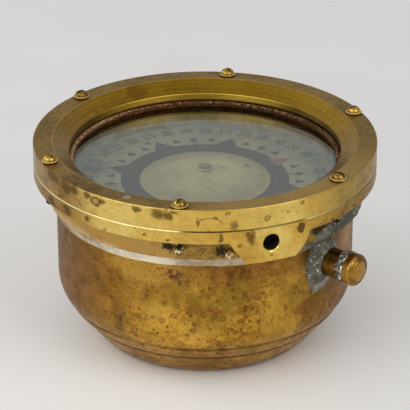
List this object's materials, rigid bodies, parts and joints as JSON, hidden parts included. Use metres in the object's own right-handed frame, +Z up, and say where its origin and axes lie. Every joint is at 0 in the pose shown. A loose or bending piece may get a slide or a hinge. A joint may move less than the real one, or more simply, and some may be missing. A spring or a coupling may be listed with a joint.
{
  "type": "ships compass",
  "caption": "Brass liquid-filled boat compass bowl with a screwed-down glass bezel, floating card on a point pivot, soldered filler neck and side lugs for gimbal pivots.",
  "frame": {"origin": "centre of the flat foot, on the surface that the compass stands on", "axes": "+Z up through the card's pivot; Y along the gimbal axis, through the sockets of both side lugs; the filler neck points to X+ Y-"},
  "size_m": [0.152, 0.152, 0.0958],
  "materials": {
    "bright_brass": "turned brass, worn bright, with brown spots",
    "brown_brass": "spun brass with a mottled golden-brown patina",
    "filler_brass": "dull turned brass",
    "screw_brass": "dark brass screw heads",
    "plain_brass": "plain machined brass",
    "solder": "dull grey soft solder",
    "lead": "dull cast lead",
    "magnet_steel": "hardened steel",
    "window_glass": "clear plate glass",
    "packing": "dry red-brown packing",
    "card_paint": "aged pale paint with printed dial",
    "float_paint": "aged cream paint",
    "sapphire": "polished jewel"
  },
  "bodies": {
    "bowl": {"bowl_body": "brown_brass", "bottom_cap": "brown_brass", "expansion_diaphragm": "plain_brass", "ballast_weight": "lead", "flange_ring": "bright_brass", "seam_solder": "solder", "filler_tube": "plain_brass", "filler_cap": "filler_brass", "filler_cap_solder": "solder", "filler_solder": "solder", "pivot_bridge": "plain_brass", "bridge_screw_1": "plain_brass", "bridge_screw_2": "plain_brass", "pivot_post": "plain_brass", "pivot_needle": "magnet_steel", "lubber_strip": "plain_brass", "lower_gasket": "packing", "cover_glass": "window_glass", "upper_packing": "packing", "bezel_ring": "bright_brass", "bezel_screw_1": "screw_brass", "bezel_screw_2": "screw_brass", "bezel_screw_3": "screw_brass", "bezel_screw_4": "screw_brass", "bezel_screw_5": "screw_brass", "bezel_screw_6": "screw_brass"},
    "card": {"compass_card": "card_paint", "float_top": "float_paint", "float_bottom": "float_paint", "jewel_housing": "plain_brass", "jewel_cup": "sapphire", "magnet_1": "magnet_steel", "magnet_2": "magnet_steel", "magnet_clip_1": "plain_brass", "magnet_clip_2": "plain_brass", "magnet_clip_3": "plain_brass", "magnet_clip_4": "plain_brass"}
  },
  "joints": [
    {"name": "card_spin", "type": "hinge", "parent": "bowl", "child": "card", "pos_m": [0, 0, 0.0744], "axis": [0, 0, 1], "continuous": true}
  ]
}
